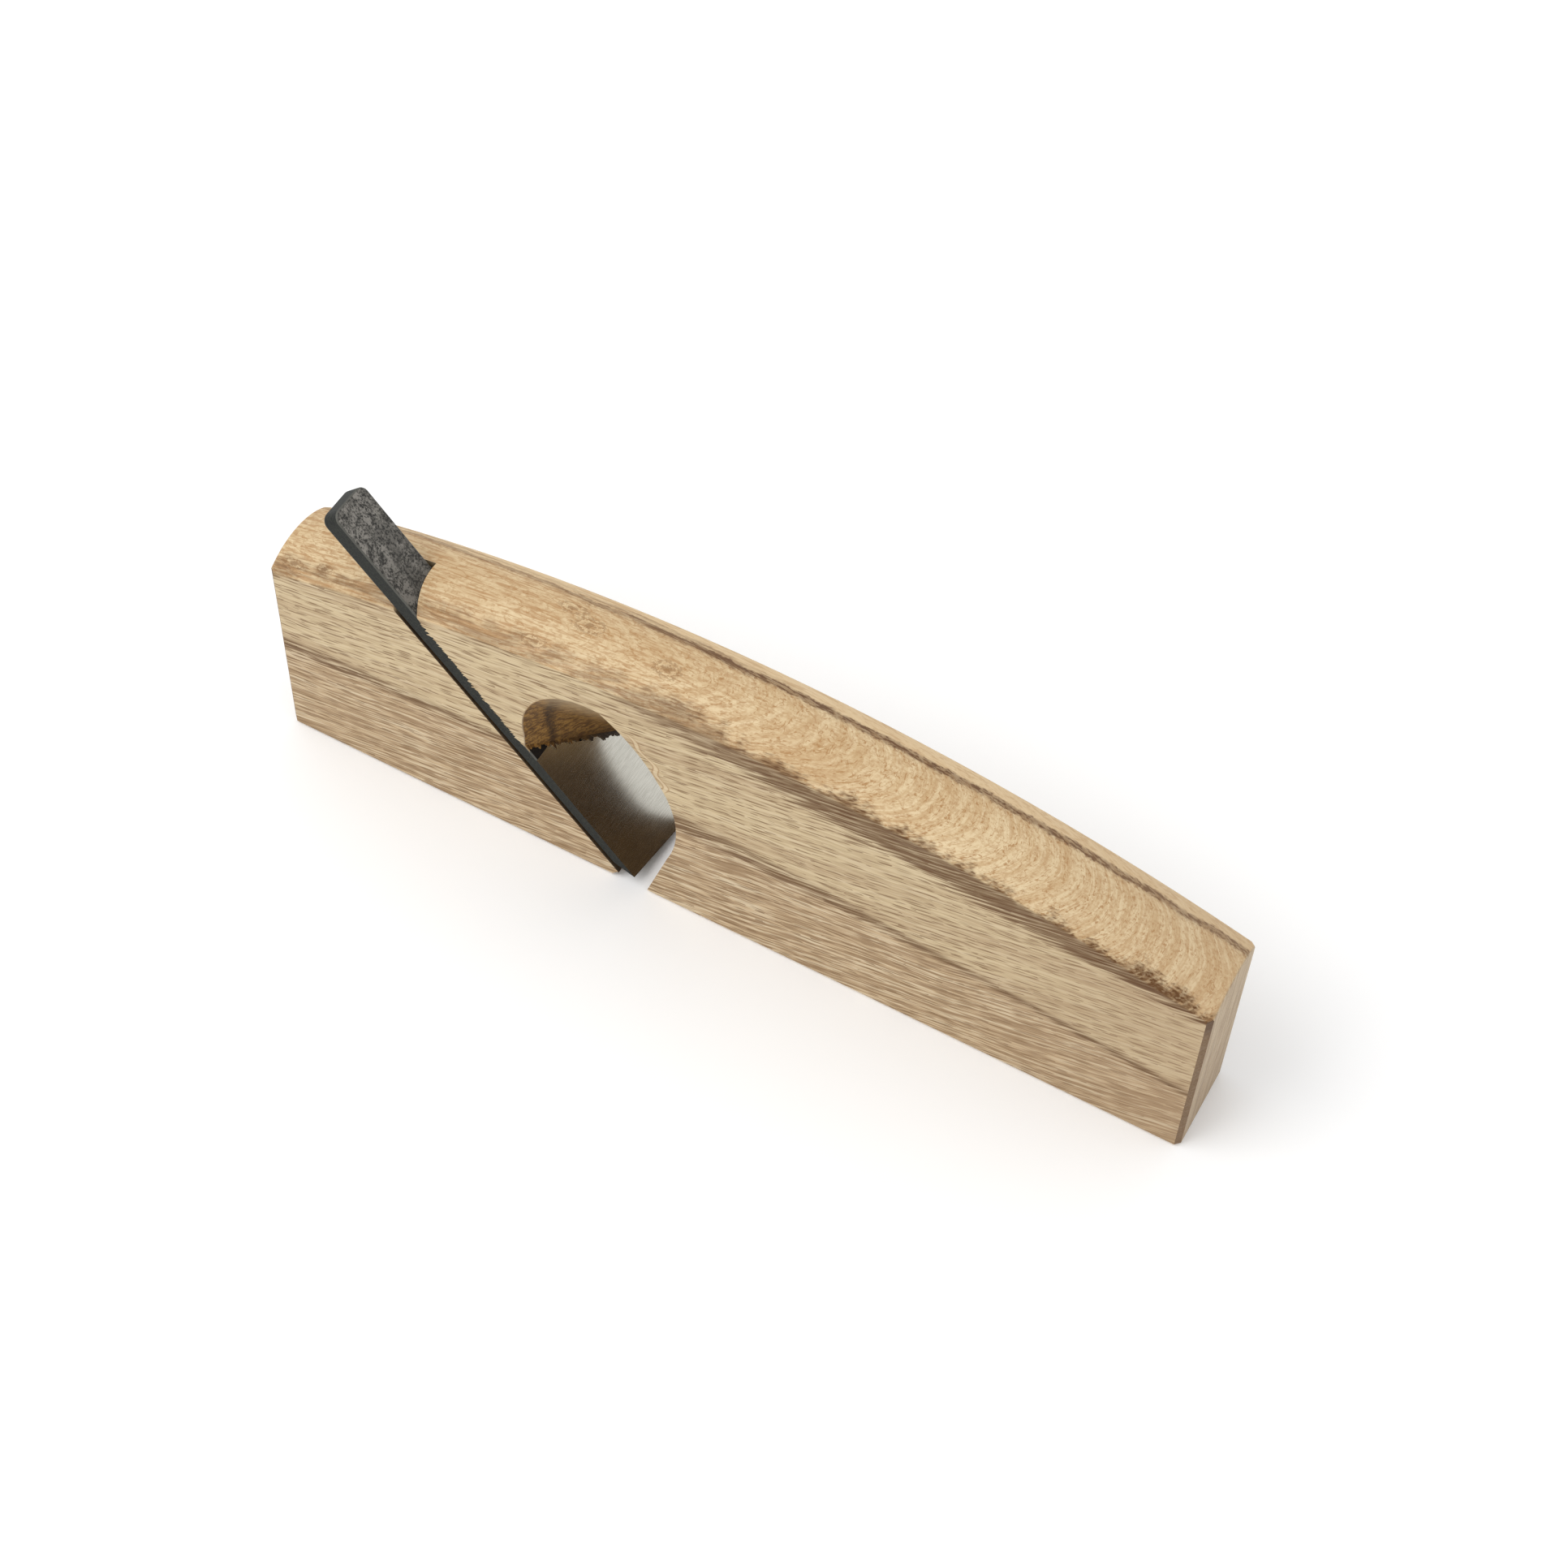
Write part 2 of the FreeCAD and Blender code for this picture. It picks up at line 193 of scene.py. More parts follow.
# ---------------------------------------------------------------------------------------------
# Oak. The rings lie nearly parallel to the block's sides, so the sides show dark dashes, which
# are the ends of the rays, and the domed back shows the rays from the side, as pale curls.
# In these functions s is the shader, and w holds the fields that read_wood works out.
# ---------------------------------------------------------------------------------------------
SIDE_PALE = tone(217, 195, 155)
SIDE_BROWN = tone(209, 182, 144)
SIDE_BAND = tone(186, 158, 122)
SIDE_DARK_LINE = tone(150, 119, 82)
SIDE_PALE_LINE = tone(224, 205, 172)
SIDE_HAIR = tone(150, 120, 86)
RAY_END = tone(134, 104, 68)
UPPER_STREAK = tone(96, 58, 8)
LOWER_STREAK = tone(112, 80, 44)
CURL_PALE = tone(226, 204, 166)
CURL_OUTLINE = tone(164, 124, 80)

DOME_PALE = tone(225, 200, 158)
DOME_BAND = tone(214, 186, 143)
DOME_THREAD = tone(182, 140, 92)
DOME_HAIR = tone(184, 144, 98)
DOME_GLOW = tone(234, 213, 172)
RAY_SHADE = tone(194, 157, 108)
RIPPLE_SHADE = tone(180, 138, 90)
SQUIGGLE = tone(168, 120, 64)
SPECK = tone(176, 134, 86)
KNOT = tone(146, 108, 66)
OUTER_PALE = tone(228, 200, 157)
OUTER_THREAD = tone(190, 152, 106)
RING_LINE = tone(98, 60, 22)

END_PALE = tone(204, 182, 150)
END_RING = tone(179, 154, 123)
END_PORE = tone(132, 108, 84)
END_CHECK = tone(118, 96, 86)
END_LOW = tone(152, 126, 98)

# Inside the cuts: the darker cross grain with painted shade laid into its colours, then painted
# shade in a crease, beside the slot, towards the toe end of the cut and in the slot.
SHADED_CUT_PALE = tone(162, 121, 60)
SHADED_CUT_LINE = tone(107, 73, 30)
SHADED_CUT_HAIR = tone(80, 52, 20)
CREASE_SHADE = tone(58, 36, 15)
BY_SLOT_SHADE = tone(66, 42, 16)
FRONT_CUT_SHADE = tone(48, 34, 17)
SLOT_WALL_SHADE = tone(44, 34, 24)

TOE_FADE = tone(173, 143, 109)
CHAMFER = tone(116, 86, 55)
CHAMFER_TOP = tone(84, 56, 34)

# The edge where the dome meets the sides is an arc, as seen from the side.
ARRIS_CENTRE_X = -5.2
ARRIS_CENTRE_Z = -273.0
ARRIS_RADIUS = 327.3

# Lines in the wood, each as the terms of a polynomial
GRAIN_CLIMB = (0.0, 0.186, 0.00026)  # how far the grain has climbed, by x
LOWER_STREAK_Z = (25.9, -0.035, -0.00062)  # the middle of the lower streak, by x
RING_Y = (4.94, -0.0168, 0.00021)  # the ring line on the dome, by x
SHADE_CREASE_Y = (-7.82, 0.372, -0.0087)  # a painted shade crease in the escapement's wall, by z
CURL_X = (-18.6, 15.5, -7.5)  # the torn curl, by the share of its height gone down

# The torn curl beside the escapement
CURL_TOP_Z = 45.0
CURL_HEIGHT = 12.5

# The upper streak hangs under the arris as a hump: its middle, half its length and its depth
HUMP_X = 34.0
HUMP_REACH = 56.0
HUMP_DEPTH = 6.0

# The middle of the blade's slot, measured square to the bed
SLOT_MIDDLE = -12.0

# Small curled knots on the dome: the middle's x and y, half the length and half the width
KNOTS = (
    (-30.2, -0.1, 3.0, 1.7),
    (-37.5, -6.2, 2.6, 1.0),
    (-34.8, 2.2, 3.0, 1.2),
    (-14.0, -2.0, 2.6, 1.6),
    (-86.9, -6.7, 2.2, 0.9),
    (-80.6, -6.3, 1.7, 0.8),
)


def read_wood(s):
    """Work out the fields that the parts of the oak's pattern share."""
    w = s.spot()
    w.side_on = s.size(w.ny)
    w.end_on = s.size(w.nx)
    w.face_side = s.smooth(w.side_on, 0.72, 0.9)
    w.face_end = s.smooth(w.end_on, 0.55, 0.85)
    w.upwards = s.smooth(w.nz, 0.2, 0.5)
    w.depth = s.difference(w.y, -HALF_WIDTH)

    # The grain climbs a little towards the toe: v counts across it and u along it.
    climb = s.polynomial(w.x, *GRAIN_CLIMB)
    lean = s.product(s.smooth(w.x, 10.0, 90.0), -0.28, w.depth)
    wander = s.grain((w.x, w.y, w.z), (0.02, 0.04, 0.05))
    w.v = s.total(w.z, s.product(climb, -1.0), lean, s.product(wander, 5.0))
    w.u = s.total(w.x, s.product(w.z, 0.18))
    w.axes = (w.u, w.y, w.v)

    # Heights above the arris and above the middle of the lower streak
    from_centre = s.difference(w.x, ARRIS_CENTRE_X)
    square = s.difference(ARRIS_RADIUS ** 2, s.product(from_centre, from_centre))
    w.above = s.difference(w.z, s.math("ADD", s.math("SQRT", square), ARRIS_CENTRE_Z))
    w.off_streak = s.difference(w.z, s.polynomial(w.x, *LOWER_STREAK_Z))

    # Broad bands, fine lines and hairlines along the grain
    w.bands = s.grain(w.axes, (0.012, 0.10, 0.22), 3.0, 0.6)
    w.lines = s.grain(w.axes, (0.075, 0.9, 1.9), 2.0, 0.55)
    w.dark_lines = s.smooth(w.lines, 0.49, 0.575)
    w.pale_lines = s.smooth(w.lines, 0.47, 0.395)
    w.frayed = s.swing(w.lines, 10.0)
    w.hairs = s.grain(w.axes, (0.2, 3.0, 2.9), 1.5, 0.5)
    w.fuzz = s.smooth(w.hairs, 0.5, 0.62)

    # Rays, threads and specks on the dome, pores in the end grain
    w.rays = s.grain(w.axes, (0.05, 0.05, 2.3), 2.0, 0.6, 0.4)
    w.threads = s.grain(w.axes, (0.09, 1.5, 1.2), 3.0, 0.65, 0.5)
    w.specks = s.grain(w.axes, (1.3, 1.7, 1.7), 3.0, 0.6)
    w.pores = s.grain((w.x, w.y, w.z), (0.5, 4.0, 4.0), 2.0, 0.5)

    w.dashes = s.math(
        "MAXIMUM",
        ray_ends(s, w, seed=0.0, per_u=0.17, per_v=0.72, slimness=6.8, least=0.0),
        ray_ends(s, w, seed=7.3, per_u=0.27, per_v=1.0, slimness=6.2, least=0.35),
    )
    return w


def ray_ends(s, w, seed, per_u, per_v, slimness, least):
    """Ends of rays: each cell of a stretched lattice holds one thin dash.

    per_u and per_v are the cells to a millimetre. least is how strong a cell's own random value
    has to be before its dash shows.
    """
    cell = s.vector(
        s.product(w.u, per_u), s.total(s.product(w.y, 0.03), seed), s.product(w.v, per_v)
    )
    lattice = s.add("TexVoronoi", {"Vector": cell, "Scale": 1.0, "Randomness": 1.0}).outputs
    offset = s.add("VectorMath", {0: cell, 1: lattice["Position"]}, operation="SUBTRACT")
    parts = s.add("SeparateXYZ", {0: offset.outputs[0]}).outputs
    across = s.math("ADD", s.product(parts[2], slimness), s.swing(w.hairs, 2.2))
    along = s.product(parts[0], 2.0)
    reach = s.math("SQRT", s.total(s.product(across, across), s.product(along, along)))
    strength = s.add("SeparateXYZ", {0: lattice["Color"]}).outputs[0]
    return s.product(s.smooth(reach, 1.0, 0.45), s.smooth(strength, least, least + 0.4))


def side_color(s, w):
    """Side faces: paler above the lower streak, denser and browner below it."""
    below = s.smooth(w.off_streak, 1.5, -2.5)
    color = s.mix(below, SIDE_PALE, SIDE_BROWN)
    color = s.cover(color, SIDE_BAND, s.smooth(w.bands, 0.42, 0.62), 0.55)
    color = s.cover(color, SIDE_DARK_LINE, w.dark_lines, s.blend(below, 0.3, 0.75))
    color = s.cover(color, SIDE_PALE_LINE, w.pale_lines, s.blend(below, 0.35, 0.75))
    color = s.cover(color, SIDE_HAIR, w.fuzz, s.blend(below, 0.2, 0.45))
    return s.cover(color, RAY_END, w.dashes, s.blend(below, 0.85, 0.8))


def add_curl(s, w, color):
    """Draw a pale torn curl beside the escapement, outlined in brown."""
    down = s.product(s.difference(CURL_TOP_Z, w.z), 1 / CURL_HEIGHT)
    wave = s.math("SINE", s.product(down, 17.0))
    off_curl = s.gap(w.x, s.total(s.polynomial(down, *CURL_X), s.product(wave, 0.6)))
    ends = s.product(
        s.smooth(down, 0.0, 0.08), s.smooth(down, 1.0, 0.92), s.smooth(w.depth, 0.3, 0.1)
    )
    outline = s.smooth(s.gap(off_curl, 0.55), 0.25, 0.05)
    color = s.cover(color, CURL_PALE, s.smooth(off_curl, 0.7, 0.3), ends, 0.65)
    return s.cover(color, CURL_OUTLINE, outline, ends, 0.6)


def upper_streak(s, w):
    """The upper streak lies just under the arris on the near side, and near the heel above it."""
    from_middle = s.product(s.difference(w.x, HUMP_X), 1 / HUMP_REACH)
    hump = s.difference(1.0, s.product(from_middle, from_middle))
    toe_end = s.smooth(w.x, 64.0, 82.0)
    thickness = s.math("MAXIMUM", s.product(hump, HUMP_DEPTH), s.blend(toe_end, -0.4, 0.7))
    lower = s.smooth(s.total(w.above, thickness, w.frayed), -1.8, 1.2)
    scallops = s.noise(s.vector(s.product(w.x, 0.2), 5.0, s.product(w.y, 0.2)), 2.0, 0.6)
    limit = s.total(
        s.blend(s.smooth(w.x, -12.0, 14.0), 1.7, 0.3), s.product(toe_end, 0.5),
        s.swing(scallops, 4.4), s.swing(w.hairs, 1.8),
    )
    upper = s.smooth(s.difference(w.above, limit), 0.8, -0.6)
    near = s.smooth(w.depth, 5.0, 2.5)
    strength = s.total(
        s.blend(s.smooth(w.x, -66.0, -40.0), 0.62, 0.48),
        s.product(s.smooth(w.x, -30.0, 12.0), 0.5),
        s.product(toe_end, 0.15),
    )
    grainy = s.total(
        0.72, s.product(w.dark_lines, 0.13), s.product(w.pale_lines, -0.22),
        s.product(w.fuzz, 0.17),
    )
    return s.math("MULTIPLY", s.product(lower, upper, near, strength), grainy, clamp=True)


def lower_streak(s, w):
    """The lower streak, in two runs with the escapement between them."""
    heel_half = s.blend(s.smooth(w.x, -80.0, -50.0), 1.7, 1.0)
    toe_half = s.blend(s.smooth(w.x, 0.0, 50.0), 2.3, 0.8)
    half = s.blend(s.smooth(w.x, -30.0, -10.0), heel_half, toe_half)
    drift = s.size(s.math("ADD", w.off_streak, s.product(w.frayed, 0.3)))
    inside = s.smooth(s.difference(drift, half), 0.8, -0.8)
    near = s.smooth(w.depth, 7.0, 3.0)
    grainy = s.total(
        0.55, s.product(w.dark_lines, 0.35), s.product(w.pale_lines, -0.4),
        s.product(w.dashes, 0.3),
    )
    return s.math("MULTIPLY", s.product(inside, near), grainy, clamp=True)


def dome_color(s, w):
    """Domed back and sole, where the rays show as pale curls with brown specks between them."""
    curled = s.smooth(w.x, -36.0, 25.0)
    ripples = s.grain(w.axes, (0.25, 0.55, 4.4), 3.0, 0.6, 0.6)
    wavy = s.grain(w.axes, (0.16, 0.42, 2.6), 1.5, 0.5, 0.9)
    glow = s.total(s.product(curled, 0.25), s.product(s.smooth(w.x, 30.0, 75.0), 0.3))

    color = s.mix(s.smooth(w.bands, 0.4, 0.6), DOME_PALE, DOME_BAND)
    for shade, mask, strength in (
        (DOME_THREAD, s.smooth(w.threads, 0.50, 0.60), s.blend(curled, 0.75, 0.15)),
        (DOME_HAIR, w.fuzz, s.blend(curled, 0.65, 0.3)),
        (RAY_SHADE, s.smooth(w.rays, 0.5, 0.42), s.blend(curled, 0.12, 0.4)),
        (DOME_GLOW, s.smooth(w.rays, 0.54, 0.60), glow),
        (RIPPLE_SHADE, s.smooth(ripples, 0.48, 0.40), s.blend(curled, 0.15, 0.3)),
        (DOME_GLOW, s.smooth(ripples, 0.53, 0.61), 0.3),
    ):
        color = s.cover(color, shade, mask, strength)
    squiggles = s.product(s.smooth(s.gap(wavy, 0.5), 0.030, 0.008), s.smooth(w.specks, 0.40, 0.52))
    color = s.cover(color, SQUIGGLE, squiggles, s.blend(curled, 0.45, 0.75))
    color = s.cover(color, SPECK, s.smooth(w.specks, 0.52, 0.62), 0.35)

    knots = 0.0
    for place in KNOTS:
        knots = s.math("MAXIMUM", knots, knot(s, w, *place))
    color = s.cover(color, KNOT, knots, w.upwards, 0.7)
    return add_ring_line(s, w, color)


def knot(s, w, middle_x, middle_y, half_length, half_width):
    """A small knot: a few wavy rings round a brown spot."""
    dx = s.product(s.difference(w.x, middle_x), 1 / half_length)
    dy = s.product(s.difference(w.y, middle_y), 1 / half_width)
    distance = s.math("SQRT", s.total(s.product(dx, dx), s.product(dy, dy)))
    reach = s.total(distance, s.swing(w.specks, 1.6))
    rings = s.smooth(s.math("SINE", s.product(reach, 9.0)), -0.2, 0.7)
    spot = s.smooth(reach, 0.5, 0.2)
    return s.product(s.smooth(reach, 1.2, 0.7), s.math("MAXIMUM", rings, spot))


def add_ring_line(s, w, color):
    """Draw one dark ring line along the dome, nearer to its far side, with plainer wood beyond."""
    sway = s.noise(s.vector(s.product(w.x, 0.11), 3.0, 3.0), 3.0, 0.6)
    off_ring = s.total(
        w.y, s.product(s.polynomial(w.x, *RING_Y), -1.0), s.swing(w.specks, 1.3),
        s.swing(sway, 2.6),
    )
    beyond = s.smooth(off_ring, -0.1, 0.6)
    color = s.cover(color, OUTER_PALE, beyond, 0.75)
    color = s.cover(color, OUTER_THREAD, beyond, s.smooth(w.threads, 0.50, 0.60), 0.5)

    # The line's core, the shade on its near side, and a second line beside it near the heel
    wide = s.smooth(w.x, -40.0, -10.0)
    core = s.smooth(s.size(off_ring), s.blend(wide, 0.85, 1.15), s.blend(wide, 0.2, 0.5))
    shade = s.product(s.smooth(off_ring, -1.8, 0.0), s.smooth(off_ring, 0.9, 0.2), 0.55)
    twin = s.product(s.smooth(s.gap(off_ring, 1.3), 0.6, 0.15), s.smooth(w.x, 15.0, -15.0), 0.6)
    line = s.math("MAXIMUM", s.math("MAXIMUM", core, shade), twin)
    broken = s.blend(s.smooth(w.threads, 0.44, 0.56), 0.55, 0.95)
    strength = s.blend(s.smooth(w.x, -50.0, 0.0), 0.6, 1.0)
    return s.cover(color, RING_LINE, line, broken, strength, w.upwards)


def end_color(s, w):
    """End grain: greyer, with upright ring lines, fine pores and one check."""
    rings = s.grain(w.axes, (0.02, 0.75, 0.05), 3.0, 0.6)
    color = s.mix(s.smooth(rings, 0.4, 0.62), END_PALE, END_RING)
    color = s.cover(color, END_PORE, s.smooth(w.pores, 0.55, 0.7), 0.5)
    off_check = s.size(s.total(w.y, 4.4, s.product(w.z, -0.02), s.swing(rings, 2.0)))
    check = s.product(s.smooth(off_check, 0.3, 0.1), s.smooth(w.z, 36.0, 24.0))
    color = s.cover(color, END_CHECK, check, 0.5)
    return s.cover(color, END_LOW, s.smooth(w.z, 32.0, 4.0), 0.4)


def add_shaded_cut_walls(s, w, color):
    """Darken the inside of the cuts: partly the darker grain of walls sawn and chiselled across
    it, partly painted shade, with more painted shade in a crease, beside the slot, towards the toe
    end of the cut and in the slot.
    """
    off = off_bed(s, w.x, w.z)
    # Painted shade in a crease down the escapement's wall.
    off_shade_crease = s.difference(w.y, s.polynomial(w.z, *SHADE_CREASE_Y))
    crease_shade = s.product(s.smooth(off_shade_crease, -0.9, 0.0), s.smooth(off_shade_crease, 1.6, 0.1))
    crease_shade = s.product(
        s.math("ADD", crease_shade, s.swing(w.hairs, 1.5)), s.smooth(w.x, -26.0, -30.0),
        s.smooth(w.y, -1.5, -3.5),
    )
    # Painted shade in a band beside the slot.
    by_slot_shade = s.product(s.smooth(off, -7.0, -10.0), s.smooth(off_shade_crease, 0.5, 2.0))
    # The walls' own colours carry painted shade as well as the darker cross grain.
    shaded_wall = s.mix(s.smooth(w.lines, 0.42, 0.6), SHADED_CUT_PALE, SHADED_CUT_LINE)
    shaded_wall = s.cover(shaded_wall, SHADED_CUT_HAIR, w.fuzz, 0.5)
    shaded_wall = s.cover(shaded_wall, CREASE_SHADE, crease_shade, 0.8)
    shaded_wall = s.cover(shaded_wall, BY_SLOT_SHADE, by_slot_shade, 0.5)
    # Painted shade, near black, towards the toe end of the cut, under the blade.
    shaded_wall = s.cover(shaded_wall, FRONT_CUT_SHADE, s.smooth(w.x, -25.0, -19.0), 0.6)

    not_side = s.smooth(w.side_on, 0.9, 0.7)
    not_sole = s.smooth(w.z, 0.9, 1.6)
    color = s.cover(
        color, shaded_wall, not_side, not_sole, s.smooth(w.above, -0.8, -1.6),
        s.smooth(s.size(w.y), HALF_WIDTH - 0.14, HALF_WIDTH - 0.22),
        s.smooth(s.size(w.x), HALF_LENGTH - 3.0, HALF_LENGTH - 5.0),
    )

    # Painted shade: the slot's walls, deep in shade behind the iron, are drawn near black.
    slot_shade = s.smooth(s.gap(off, SLOT_MIDDLE), 1.95, 1.8)
    return s.cover(
        color, SLOT_WALL_SHADE, slot_shade, not_side, not_sole, s.smooth(w.above, 0.2, -0.6), 0.85
    )


def add_chamfers(s, w, color):
    """Darken the chamfers at the toe and the heel, which are cut across the fibre."""
    corner = s.product(
        s.smooth(w.end_on, 0.45, 0.6), s.smooth(w.side_on, 0.45, 0.6),
        s.smooth(s.size(w.x), HALF_LENGTH - 3.0, HALF_LENGTH - 1.5),
    )
    color = s.cover(color, CHAMFER, corner, s.blend(s.smooth(w.pores, 0.4, 0.6), 0.95, 0.8))
    return s.cover(color, CHAMFER_TOP, corner, s.smooth(w.above, -5.0, -1.5), 0.6)


def make_oak():
    """White oak, planed and left unfinished."""
    s = Shader("oak_planed")
    w = read_wood(s)
    color = s.mix(w.face_side, dome_color(s, w), add_curl(s, w, side_color(s, w)))
    color = s.cover(
        color, TOE_FADE, s.smooth(w.x, 35.0, 100.0), s.blend(w.face_side, 0.3, 0.42)
    )
    color = s.cover(color, UPPER_STREAK, upper_streak(s, w), s.smooth(w.end_on, 0.9, 0.5))
    color = s.cover(color, LOWER_STREAK, lower_streak(s, w), w.face_side)
    color = s.mix(w.face_end, color, end_color(s, w))
    color = add_shaded_cut_walls(s, w, color)
    color = add_chamfers(s, w, color)

    relief = s.total(
        s.product(w.lines, 0.35), s.product(w.hairs, 0.15),
        s.product(w.dashes, -0.4, w.face_side), s.product(w.pores, -0.35, w.face_end),
    )
    roughness = s.blend(s.smooth(w.rays, 0.5, 0.66), 0.62, 0.48)
    return s.finish(
        Base_Color=color, Roughness=roughness, Normal=s.bump(relief, 0.22, 0.00012),
        Specular_IOR_Level=0.35,
    )


# ---------------------------------------------------------------------------------------------
# Blade
# ---------------------------------------------------------------------------------------------
SCALE_DARK = tone(50, 49, 46)
SCALE_PALE = tone(112, 109, 103)
SCALE_WORN = tone(146, 142, 135)
SCALE_HEAD = tone(44, 42, 38)
# Painted shade on the scale inside the slot.
SCALE_SLOT_SHADE = tone(26, 20, 16)
# Painted highlight along the eased rims.
SCALE_RIM_HIGHLIGHT = tone(140, 138, 130)
EDGE_DARK = tone(13, 16, 11)
EDGE_PALE = tone(36, 40, 31)
BEVEL_DARK = tone(176, 174, 170)
BEVEL_PALE = tone(200, 198, 193)
STEEL_DARK = tone(206, 203, 192)
STEEL_PALE = tone(233, 230, 219)

# Scale counts as part metal, ground iron and steel as all metal.
SCALE_METALLIC = 0.45


def read_scale(s, spot):
    """Forge scale: speckled on the blade's face, dark and even on its edges, with painted shade on
    the face inside the slot and a painted highlight along the eased rims.

    Returns its colour, its fine speckle, and where the face is.
    """
    down = down_bed(s, spot.x, spot.z)
    off = off_bed(s, spot.x, spot.z)
    axes = (down, spot.y, off)
    fine = s.grain(axes, (2.3, 2.7, 2.7), 3.0, 0.7)
    middle = s.grain(axes, (0.55, 0.7, 0.7), 2.0, 0.5, 0.6)
    broad = s.grain(axes, (0.12, 0.2, 0.2), 2.0)
    rubbed = s.total(fine, s.swing(middle, 0.4))
    worn = s.total(rubbed, s.swing(middle, 0.6), s.swing(broad, 1.0))
    face = s.mix(s.smooth(rubbed, 0.38, 0.56), SCALE_DARK, SCALE_PALE)
    face = s.mix(s.smooth(worn, 0.52, 0.74), face, SCALE_WORN)
    face = s.cover(face, SCALE_HEAD, s.smooth(down, -92.0, -80.0), 0.3)
    # Painted shade: the face inside the slot is drawn near black.
    face = s.mix(s.smooth(down, -60.0, -54.0), face, SCALE_SLOT_SHADE)
    edge = s.mix(s.smooth(fine, 0.42, 0.6), EDGE_DARK, EDGE_PALE)

    facing = off_bed(s, spot.nx, spot.nz)
    on_face = s.smooth(facing, 0.80, 0.97)
    # Painted highlight: the rims between the face and the edges are drawn paler.
    rim_highlight = s.product(s.smooth(facing, 0.5, 0.65), s.smooth(facing, 0.97, 0.85))
    color = s.cover(s.mix(on_face, edge, face), SCALE_RIM_HIGHLIGHT, rim_highlight, 0.4)
    return color, fine, on_face


def make_forged_iron():
    """Soft iron under its forge scale, with the bevel ground bright."""
    s = Shader("iron_forged")
    spot = s.spot()
    scale, fine, on_face = read_scale(s, spot)
    ground = s.smooth(spot.nz, -0.84, -0.9)
    brushed = s.grain((spot.x, spot.y, spot.z), (6.0, 0.15, 6.0))
    scale_roughness = s.blend(on_face, 0.62, s.blend(fine, 0.66, 0.5))
    return s.finish(
        Base_Color=s.mix(ground, scale, s.mix(brushed, BEVEL_DARK, BEVEL_PALE)),
        Metallic=s.blend(ground, SCALE_METALLIC, 1.0),
        Roughness=s.blend(ground, scale_roughness, 0.32),
        Normal=s.bump(fine, 0.5, 0.00015),
    )


def make_ground_steel():
    """Hard steel, ground and honed on its face and bevel, dark at its side edges."""
    s = Shader("steel_ground")
    spot = s.spot()
    scale, fine = read_scale(s, spot)[:2]
    sideways = s.smooth(s.size(spot.ny), 0.55, 0.85)
    axes = (down_bed(s, spot.x, spot.z), spot.y, off_bed(s, spot.x, spot.z))
    brushed = s.grain(axes, (9.0, 0.35, 9.0), 3.0, 0.6)
    cloud = s.grain(axes, (0.25, 0.3, 0.3), 2.0)
    ground = s.mix(s.smooth(brushed, 0.3, 0.7), STEEL_DARK, STEEL_PALE)
    ground_roughness = s.total(0.18, s.product(brushed, 0.06), s.product(cloud, 0.06))
    return s.finish(
        Base_Color=s.mix(sideways, ground, scale),
        Metallic=s.blend(sideways, 1.0, SCALE_METALLIC),
        Roughness=s.blend(sideways, ground_roughness, 0.6),
        Normal=s.bump(s.blend(sideways, brushed, fine), 0.05, 0.00002),
    )


def put_on(node, material):
    """Give every slot of a CAD node one material."""
    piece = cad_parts[node]
    if not piece.material_slots:
        piece.data.materials.append(material)
    for slot in piece.material_slots:
        slot.material = material


# ---------------------------------------------------------------------------------------------
# Torn fibres. The saw and the chisel have left a fringe on two edges: the front edge of the slot
# on the near side, and the thin edge of wood where the escapement meets the slot.
# ---------------------------------------------------------------------------------------------
FRINGE_SEED = 31

# The fibres stay this side of the block's near face.
FRINGE_FRONT_Y = -8.99

# The slot's front edge above the escapement: its limits square to the bed, and down the slope
EDGE_OFF_MIN = -11.0
EDGE_OFF_MAX = -8.0
EDGE_DOWN_MAX = -30.0

# A fibre is four rings of corners: each ring's place along the fibre, and its share of the width
FIBRE_RINGS = ((-0.6, 1.0), (0.0, 1.0), (0.55, 0.62), (1.0, 0.16))

# Each corner of a ring: its place across the fibre's width, and through its thickness
FIBRE_CORNERS = ((-0.5, 0), (0.5, 0), (0.5, 1), (-0.5, 1))


def slot_end(side, lowest):
    """Return the top or bottom end of the slot's front edge on one side, in millimetres."""
    found = []
    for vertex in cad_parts["body_block"].data.vertices:
        x, y, z = vertex.co * MM_PER_M
        down = x * BED_COS - z * BED_SIN
        off = x * BED_SIN + z * BED_COS
        on_edge = EDGE_OFF_MIN < off < EDGE_OFF_MAX and down < EDGE_DOWN_MAX
        if on_edge and abs(y - side) < 0.01:
            found.append((down, x, y, z))
    return Vector((max(found) if lowest else min(found))[1:])


def add_fibre(form, root, reach, width, thickness, bend):
    """Add one torn fibre: a thin strip that narrows in three steps and bends a little."""
    rings = []
    for step, share in FIBRE_RINGS:
        middle = root + reach * step + bend * step * abs(step)
        corners = []
        for across, through in FIBRE_CORNERS:
            shrink = 1 - 0.5 * max(step, 0)
            corner = middle + width * share * across + thickness * (through * shrink)
            corner.y = max(corner.y, FRINGE_FRONT_Y)
            corners.append(form.verts.new(corner / MM_PER_M))
        rings.append(corners)
    for first, second in zip(rings, rings[1:]):
        for i in range(4):
            j = (i + 1) % 4
            form.faces.new((first[i], first[j], second[j], second[i]))
    form.faces.new(rings[0][::-1])
    form.faces.new(rings[-1])


